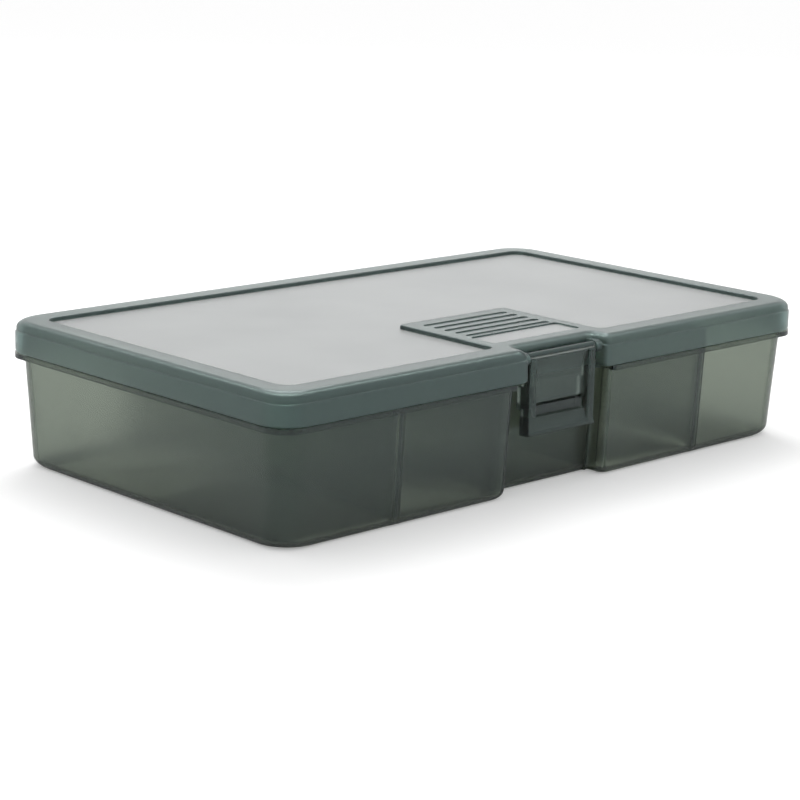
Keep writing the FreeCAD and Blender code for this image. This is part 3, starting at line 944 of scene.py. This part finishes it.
@dataclass
class Dividers:
    """The four upright partitions across the tray."""

    thickness: float = 1.8 * MM
    fit: float = 0.3 * MM
    inner: float = 34.5 * MM
    outer: float = 103.914 * MM
    bead: float = 1.25
    bead_length: float = 5.0 * MM
    end_zone: float = 70.0 * MM
    painted_shade_end_facing: float = 0.7
    foot: Rounding = Rounding(3.2 * MM, 4)
    head: Rounding = Rounding(1.5 * MM, 3)
    edge: Rounding = Rounding(0.35 * MM, 2)

    @classmethod
    def places(cls) -> list[tuple[float, bool]]:
        """Work out where the partitions stand.

        Returns:
            Each partition's x and whether it ends behind the notch.
        """
        return [(-cls.outer, False), (-cls.inner, True), (cls.inner, True), (cls.outer, False)]

    def plate(self, number: int, x_place: float, behind_notch: bool) -> Piece:
        """Model one partition that follows the leaning walls.

        Args:
            number: Its number from the left.
            x_place: X of its middle.
            behind_notch: Whether its front end stops behind the notch.

        Returns:
            The partition.
        """
        tray = Tray()
        gap = tray.wall + self.fit
        back = BOX.back - tray.wall_inset - gap
        front = tray.notch_floor + gap if behind_notch else -back
        low = tray.floor + self.fit
        half = self.thickness / 2
        plate = block(
            f"divider_plate_{number}",
            (x_place - half, front, low),
            (x_place + half, back, BOX.divider_top),
        )
        edit(plate)
        split((0, 0, BOX.shoulder), (0, 0, 1))
        lean = tray.lean.notch_floor if behind_notch else tray.lean.wall
        for side, shift in ((-1, lean), (1, -tray.lean.wall)):
            pick(plate, Element.VERTEX, lambda p: abs(p.z - low) < NEAR and p.y * side > 0)
            move_picked(y=shift)
        bead_start = back - self.bead_length
        for side in SIDES:
            split((0, bead_start * side, 0), (0, 1, 0))
            pick(plate, Element.VERTEX, lambda p: p.y * side > bead_start + NEAR)
            bpy.ops.transform.resize(value=(self.bead, 1, 1), center_override=(x_place, 0, 0))
        for side in SIDES:
            for level, rounding in ((low, self.foot), (BOX.divider_top, self.head)):
                pick(plate, Element.EDGE, lambda p: abs(p.z - level) < NEAR and p.y * side > self.end_zone)
                bevel_picked(rounding)
        close_edit()
        finish_edges(plate, self.edge)
        return plate

    def build(self) -> list[Piece]:
        """Model, dress and place the partitions.

        Returns:
            The partitions from left to right.
        """
        plates = []
        for number, (x_place, behind_notch) in enumerate(self.places(), start=1):
            plate = self.plate(number, x_place, behind_notch)
            # End faces that face front or back take the dark finish: painted shade.
            dress(plate, DIVIDER_PLASTIC, DIVIDER_END_PAINTED_SHADE, lambda face: abs(face.normal.y) > self.painted_shade_end_facing)
            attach(plate, "tray")
            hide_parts(f"divider_{number}")
            plates.append(plate)
        return plates


@dataclass
class Lid:
    """The lid: skirt, rim, sunk panel, grooved pad, latch ears and hinge knuckles."""

    wall: float = 2.0 * MM
    top_edge: Rounding = Rounding(3.6 * MM, 7)
    top_wall: float = 2.9 * MM
    hollow_edge: Rounding = Rounding(1.6 * MM, 3)
    crease: float = 67.2 * MM
    crease_depth: float = 0.85 * MM
    crease_edge: Rounding = Rounding(0.8 * MM, 3)
    skirt_edge: Rounding = Rounding(1.2 * MM, 4)
    overlap: float = 1.0 * MM
    rim_width: float = 14.0 * MM
    recess_corner: float = 7.0 * MM
    recess_lip: float = 4.0 * MM
    recess_root: float = 2.5 * MM
    recess_edge: Rounding = Rounding(0.7 * MM, 3)
    pad_half: float = 36.4 * MM
    pad_back: float = -23.4 * MM
    groove_count: int = 5
    groove_pitch: float = 7.2 * MM
    groove_first: float = -33.3 * MM
    groove_half: float = 28.2 * MM
    groove_width: float = 3.6 * MM
    groove_deep: float = 0.8 * MM
    groove_foot: float = 0.5 * MM
    groove_end: float = 0.95
    label_half: float = 30.0 * MM
    label_low: float = -82.0 * MM
    label_high: float = -65.3 * MM
    label_deep: float = 0.8 * MM
    label_corner: float = 2.5 * MM
    label_foot: float = 0.3 * MM
    ear_radius: float = 3.0 * MM
    ear_inner: float = 23.2 * MM
    ear_outer: float = 27.2 * MM
    ear_root: float = 0.5 * MM
    ear_bore_half: float = 27.9 * MM
    knuckle_root: float = 0.5 * MM
    edge: Rounding = Rounding(0.3 * MM, 2)

    def recess(self) -> NotchedOutline:
        """Make the sunk panel's outline.

        Returns:
            The outline, with the pad as its notch.
        """
        return NotchedOutline(
            BOX.half - self.rim_width,
            BOX.back - self.rim_width,
            self.recess_corner,
            self.pad_half,
            self.pad_back,
            self.recess_lip,
            self.recess_root,
        )

    def shell(self) -> Piece:
        """Model the lid's form with its skirt, rim and sunk panel.

        Returns:
            The hollow lid.
        """
        lid = LID_OUTLINE.block(
            "lid_shell", BOX.skirt_under, self.crease, foot=self.skirt_edge, top=self.crease_edge
        )
        under_crease = self.crease - 2 * self.overlap
        cap_outline = LID_OUTLINE.inset(self.crease_depth)
        cap = cap_outline.block("lid_cap", under_crease, BOX.top, top=self.top_edge)
        combine(lid, cap, Join.ADD)
        hollow = LID_OUTLINE.inset(self.wall).block(
            "lid_hollow", BOX.skirt_under - self.overlap, self.crease - self.overlap
        )
        under_rim = LID_OUTLINE.inset(self.top_wall).block(
            "under_rim", under_crease, BOX.rim_under, top=self.hollow_edge
        )
        combine(hollow, under_rim, Join.ADD)
        combine(lid, hollow, Join.CUT)
        grown = replace(
            self.recess().inset(-self.wall), lip_round=self.recess_lip, root_round=self.recess_root
        )
        combine(lid, grown.block("panel_floor", BOX.panel_under, BOX.rim_under + NEAR), Join.ADD)
        recess = self.recess().block("panel_recess", BOX.panel_top, BOX.top + self.overlap)
        combine(lid, recess, Join.CUT)
        self.soften_recess(lid)
        return lid

    def soften_recess(self, lid: Piece) -> None:
        """Round the upper edge of the sunk panel, the only sharp edge at the lid's top.

        Args:
            lid: The hollow lid.
        """

        def sharp_at_top(edge: bmesh.types.BMEdge) -> bool:
            at_top = all(abs(end.co.z - BOX.top) < NEAR for end in edge.verts)
            return at_top and edge.calc_face_angle(0) > SHARP_ANGLE

        edit(lid)
        pick_edges(lid, sharp_at_top)
        bevel_picked(self.recess_edge)
        close_edit()

    def sink(
        self, lid: Piece, half: float, low: float, high: float, deep: float, corner: float, foot: float
    ) -> None:
        """Cut a shallow rounded place into the pad.

        Args:
            lid: The hollow lid.
            half: Half its length along X.
            low: Lower y.
            high: Higher y.
            deep: How deep it is.
            corner: Radius of its corners.
            foot: Radius round its bottom.
        """
        cutter = block("sinking", (-half, low, BOX.top - deep), (half, high, BOX.top + self.overlap))
        edit(cutter)
        pick_edges(cutter, lambda edge: abs(edge.verts[0].co.z - edge.verts[1].co.z) > NEAR)
        bevel_picked(Rounding(corner, 5))
        pick(cutter, Element.EDGE, lambda p: p.z < BOX.top - deep + NEAR)
        bevel_picked(Rounding(foot, 3))
        close_edit()
        combine(lid, cutter, Join.CUT)

    def sink_pad(self, lid: Piece) -> None:
        """Cut the grooves and the bare label place into the pad.

        Args:
            lid: The hollow lid.
        """
        half = self.groove_width / 2
        for number in range(self.groove_count):
            middle = self.groove_first - self.groove_pitch * number
            low, high = middle - half, middle + half
            end = half * self.groove_end
            self.sink(lid, self.groove_half, low, high, self.groove_deep, end, self.groove_foot)
        low, high = self.label_low, self.label_high
        self.sink(lid, self.label_half, low, high, self.label_deep, self.label_corner, self.label_foot)

    def add_ears(self, lid: Piece) -> None:
        """Add the two ears that carry the latch pin.

        Args:
            lid: The hollow lid.
        """
        y_axis, z_axis = BOX.latch_axis
        for side in SIDES:
            left, right = sorted((self.ear_inner * side, self.ear_outer * side))
            ear = rod("ear", self.ear_radius, left, right, BOX.latch_axis)
            arm = block(
                "ear_arm",
                (left, y_axis, z_axis - self.ear_radius),
                (right, BOX.notch_floor + self.ear_root, z_axis + self.ear_radius),
            )
            combine(ear, arm, Join.ADD)
            combine(lid, ear, Join.ADD)
        bore(lid, 0, self.ear_bore_half, BOX.latch_axis)

    def add_hinges(self, lid: Piece) -> None:
        """Add the middle knuckle of both hinges.

        Args:
            lid: The hollow lid.
        """
        root = BOX.back - self.knuckle_root
        low = BOX.hinge_axis[1]
        high = low + BOX.knuckle_radius
        for hinge in SIDES:
            middle = BOX.hinge_place * hinge
            part = knuckle("lid_knuckle", middle, BOX.lid_knuckle, root, low, high)
            combine(lid, part, Join.ADD)
            bore(lid, middle, BOX.lid_knuckle / 2 + BOX.bore_overrun, BOX.hinge_axis)

    def frosted(self, face: bpy.types.MeshPolygon) -> bool:
        """Say whether a face is the floor of the panel or of the label place.

        Args:
            face: A face of the finished lid.

        Returns:
            Whether it takes the frosted finish.
        """
        levels = (BOX.panel_top, BOX.top - self.label_deep)
        return face.normal.z > 0.99 and min(abs(face.center.z - level) for level in levels) < 0.1 * MM

    def build(self) -> list[Piece]:
        """Model, dress and place the lid.

        Returns:
            The finished lid alone.
        """
        lid = self.shell()
        self.sink_pad(lid)
        self.add_ears(lid)
        self.add_hinges(lid)
        finish_edges(lid, self.edge)
        dress(lid, LID_PLASTIC, PANEL_PLASTIC, self.frosted)
        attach(lid, "lid")
        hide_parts("lid")
        return [lid]


@dataclass
class Latch:
    """The swinging latch with rails, web, window and lower bar."""

    half: float = 22.7 * MM
    rail: float = 4.9 * MM
    rail_front: float = -99.0 * MM
    rail_back: float = -92.8 * MM
    rail_edge: Rounding = Rounding(0.8 * MM, 3)
    web_front: float = -96.4 * MM
    web_thickness: float = 2.0 * MM
    window_top: float = 44.0 * MM
    bar_top: float = 37.4 * MM
    under: float = 28.9 * MM
    bar_front: float = -97.8 * MM
    bar_back: float = -92.9 * MM
    bar_steps: int = 4
    lip_front: float = -99.6 * MM
    lip_edge: Rounding = Rounding(0.8 * MM, 4)
    barrel_radius: float = 2.0 * MM
    head_front: float = -98.0 * MM
    head_back: float = -94.2 * MM
    head_top: float = 68.8 * MM
    head_turn: float = 64.0 * MM
    head_under: float = 59.0 * MM
    head_step: float = 0.1 * MM
    head_bend: Rounding = Rounding(2.0 * MM, 4)
    head_edge: Rounding = Rounding(1.85 * MM, 6)
    heel_back: float = -90.4 * MM
    heel_root: float = 2.0 * MM
    heel_under: float = 41.0 * MM
    heel_over: float = 52.0 * MM
    heel_edge: Rounding = Rounding(0.4 * MM, 3)
    bore_half: float = 30.0 * MM
    # Upward faces above this height below the pin axis take the painted shade.
    painted_shade_below_axis: float = 1.2 * MM
    painted_shade_facing: float = 0.2
    edge: Rounding = Rounding(0.35 * MM, 2)

    def head(self) -> Piece:
        """Model the latch's upper edge, which runs down into the web in a slope.

        Returns:
            The head.
        """
        head = block(
            "head",
            (-self.half, self.head_front, self.head_under),
            (self.half, self.head_back, self.head_top),
        )
        edit(head)
        split((0, 0, self.head_turn), (0, 0, 1))
        front = self.head_front + NEAR
        pick(head, Element.VERTEX, lambda p: p.z < self.head_under + NEAR and p.y < front)
        move_picked(y=self.web_front - self.head_front + self.head_step)
        pick(head, Element.EDGE, lambda p: p.y < front and abs(p.z - self.head_turn) < NEAR)
        bevel_picked(self.head_bend)
        for place in (self.head_front, self.head_back):
            pick(head, Element.EDGE, lambda p: abs(p.y - place) < NEAR and p.z > self.head_top - NEAR)
            bevel_picked(self.head_edge)
        close_edit()
        return head

    def bar(self) -> Piece:
        """Model the lower bar, which sweeps forward into the finger lip.

        Returns:
            The bar.
        """
        bar = block(
            "bar", (-self.half, self.bar_front, self.under), (self.half, self.bar_back, self.bar_top)
        )
        edit(bar)
        front = self.bar_front + NEAR
        sweep = self.lip_front - self.bar_front
        for number in range(1, self.bar_steps):
            step = number / self.bar_steps
            level = self.bar_top + (self.under - self.bar_top) * step
            split((0, 0, level), (0, 0, 1))
            pick(bar, Element.VERTEX, lambda p: abs(p.z - level) < NEAR and p.y < front)
            move_picked(y=sweep * step * step)
        pick(bar, Element.VERTEX, lambda p: p.z < self.under + NEAR and p.y < front)
        move_picked(y=sweep)
        pick(bar, Element.EDGE, lambda p: p.z < self.under + NEAR and p.y < self.lip_front + NEAR)
        bevel_picked(self.lip_edge)
        close_edit()
        return bar

    def add_rails(self, latch: Piece) -> None:
        """Add the two side rails with the heels behind them.

        Args:
            latch: The latch so far.
        """
        for side in SIDES:
            left, right = sorted((self.half * side, (self.half - self.rail) * side))
            rail = block(
                "rail", (left, self.rail_front, self.under), (right, self.rail_back, BOX.latch_axis[1])
            )
            round_all_edges(rail, self.rail_edge)
            combine(latch, rail, Join.ADD)
            heel = block(
                "heel",
                (left, self.rail_back - self.heel_root, self.heel_under),
                (right, self.heel_back, self.heel_over),
            )
            round_all_edges(heel, self.heel_edge)
            combine(latch, heel, Join.ADD)

    def build(self) -> list[Piece]:
        """Model, dress and place the latch.

        Returns:
            The finished latch alone.
        """
        z_axis = BOX.latch_axis[1]
        latch = rod("latch_body", self.barrel_radius, -self.half, self.half, BOX.latch_axis)
        self.add_rails(latch)
        inner = self.half - self.rail / 2
        web_back = self.web_front + self.web_thickness
        web = block("web", (-inner, self.web_front, self.window_top), (inner, web_back, z_axis))
        combine(latch, web, Join.ADD)
        combine(latch, self.head(), Join.ADD)
        combine(latch, self.bar(), Join.ADD)
        bore(latch, 0, self.bore_half, BOX.latch_axis)
        finish_edges(latch, self.edge)
        # The upward faces at the latch's top take the dark finish: painted shade, not a colour of the
        # plastic.
        painted_shade_from = z_axis - self.painted_shade_below_axis

        def takes_painted_shade(face: bpy.types.MeshPolygon) -> bool:
            return face.center.z > painted_shade_from and face.normal.z > self.painted_shade_facing

        dress(latch, LATCH_PLASTIC, LATCH_PAINTED_SHADE, takes_painted_shade)
        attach(latch, "latch")
        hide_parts("latch")
        return [latch]


def dress_pins() -> None:
    """Give the three steel pins their finish."""
    for name in ("latch_pin", "hinge_pin_left", "hinge_pin_right"):
        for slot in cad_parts[name].material_slots:
            slot.material = STEEL.material()


@dataclass(frozen=True)
class Softbox:
    """A large soft lamp that points at the box."""

    name: str
    place: Corner
    size: float
    power: float
    target: Corner = (0.0, 0.0, 0.05)

    def hang(self) -> None:
        """Hang the lamp in its place."""
        bpy.ops.object.select_all(action="DESELECT")
        bpy.ops.object.light_add(type="AREA", location=self.place)
        light = bpy.context.object
        light.name = self.name
        light.data.size = self.size
        light.data.energy = self.power
        aim = Vector(self.target) - Vector(self.place)
        light.rotation_euler = aim.to_track_quat("-Z", "Y").to_euler()


@dataclass(frozen=True)
class WhiteFloor(Finish):
    """A pale floor that looks white to the camera and keeps the object's shadow."""

    shade: Corner = (0.85, 0.85, 0.85)
    roughness: float = 0.9
    glow: float = 0.28

    def fill(self, tree: Tree, shader: bpy.types.Node) -> None:
        """Set up the material's nodes."""
        shader.inputs["Base Color"].default_value = (*self.shade, 1)
        shader.inputs["Roughness"].default_value = self.roughness
        path = tree.nodes.new("ShaderNodeLightPath")
        glow = add_math(tree, "MULTIPLY", path.outputs["Is Camera Ray"], self.glow)
        shader.inputs["Emission Color"].default_value = (1, 1, 1, 1)
        tree.links.new(glow, shader.inputs["Emission Strength"])


@dataclass
class Studio:
    """The pale floor, the soft light and the camera."""

    camera_place: Corner = (-0.7910, -0.8104, 0.2967)
    heading: float = 0.76610
    pitch: float = 0.23588
    roll: float = 0.02544
    lens: float = 103.9
    sensor: float = 36.0
    floor_half: float = 6.0
    sky_level: float = 0.8
    lamps: tuple[Softbox, ...] = (
        Softbox("overhead_softbox", (0.1, 0.6, 1.5), 1.6, 4.8),
        Softbox("rear_softbox", (0.25, 0.35, 0.75), 0.45, 2.4),
        Softbox("edge_softbox", (1.5, 1.6, 0.62), 0.9, 0.7),
    )

    def floor(self) -> None:
        """Make the floor that the box stands on."""
        bpy.ops.object.select_all(action="DESELECT")
        bpy.ops.mesh.primitive_plane_add(size=self.floor_half * 2, location=(0, 0, 0))
        floor = name_piece(bpy.context.object, "studio_floor")
        dress(floor, WhiteFloor("studio_floor"))

    def sky(self) -> None:
        """Make the even surround: white where it is seen, a little lower where it lights."""
        world = bpy.data.worlds.new("studio_surround")
        bpy.context.scene.world = world
        world.use_nodes = True
        tree = world.node_tree
        background = tree.nodes["Background"]
        path = tree.nodes.new("ShaderNodeLightPath").outputs
        seen = add_math(tree, "MAXIMUM", path["Is Camera Ray"], path["Is Transmission Ray"])
        seen = add_math(tree, "MAXIMUM", seen, path["Is Glossy Ray"])
        level = tree.nodes.new("ShaderNodeMapRange")
        level.inputs["To Min"].default_value = self.sky_level
        level.inputs["To Max"].default_value = 1.0
        tree.links.new(seen, level.inputs["Value"])
        tree.links.new(level.outputs["Result"], background.inputs["Strength"])
        background.inputs["Color"].default_value = (1, 1, 1, 1)

    def camera(self) -> None:
        """Place the camera at the photograph's viewpoint."""
        data = bpy.data.cameras.new("studio_camera")
        data.lens = self.lens
        data.sensor_width = self.sensor
        camera = bpy.data.objects.new("studio_camera", data)
        bpy.context.scene.collection.objects.link(camera)
        turn = Matrix.Rotation(-self.heading, 4, "Z")
        turn @= Matrix.Rotation(math.pi / 2 - self.pitch, 4, "X")
        turn @= Matrix.Rotation(self.roll, 4, "Z")
        camera.matrix_world = Matrix.Translation(self.camera_place) @ turn
        bpy.context.scene.camera = camera

    def build(self) -> None:
        """Set up the whole studio."""
        self.floor()
        self.sky()
        for lamp in self.lamps:
            lamp.hang()
        self.camera()
        bpy.context.scene.view_settings.view_transform = "Standard"


def main() -> None:
    """Build every sub-assembly in order."""
    logging.basicConfig(level=logging.INFO, format="%(name)s: %(message)s")
    for builder in (Tray(), Dividers(), Lid(), Latch()):
        for piece in builder.build():
            log.info("%s: %d faces", piece.name, len(piece.data.polygons))
    dress_pins()
    Studio().build()


if __name__ == "__main__":
    main()
